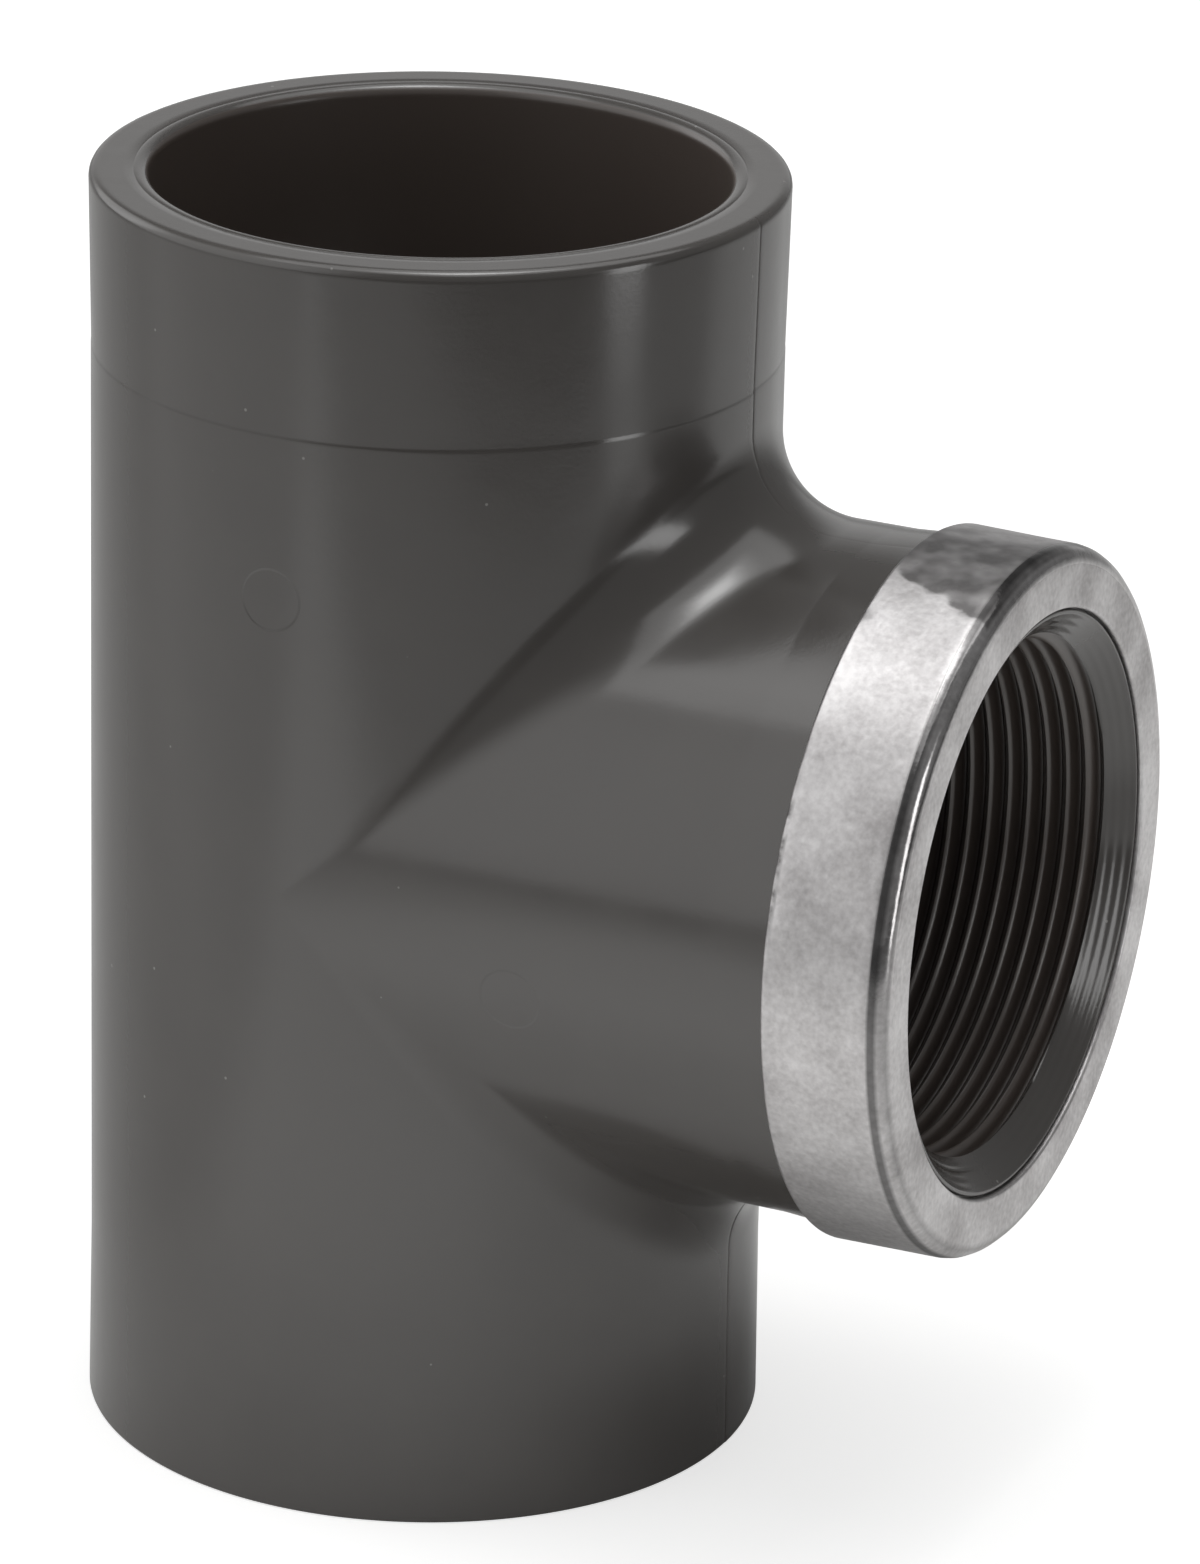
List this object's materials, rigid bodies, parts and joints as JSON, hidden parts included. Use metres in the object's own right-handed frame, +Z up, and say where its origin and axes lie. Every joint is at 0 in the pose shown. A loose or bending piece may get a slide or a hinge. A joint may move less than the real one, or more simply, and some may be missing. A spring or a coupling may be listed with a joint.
{
  "type": "threaded pipe tee",
  "caption": "Plastic pipe tee: plain sockets at the ends of the straight run, and an internally threaded side branch held in a metal reinforcing ring.",
  "frame": {"origin": "centre of the lower socket's mouth, in the plane of the rim that the tee stands on", "axes": "+Z up along the run's axis, towards the upper socket; +X along the threaded branch, out of its mouth"},
  "size_m": [0.11, 0.0788, 0.144],
  "materials": {
    "grey_pvc": "injection-moulded, satin",
    "stainless_steel": "pressed sheet, satin with a mottled sheen"
  },
  "bodies": {
    "root": {"tee_body": "grey_pvc", "reinforcing_ring": "stainless_steel"}
  },
  "joints": []
}
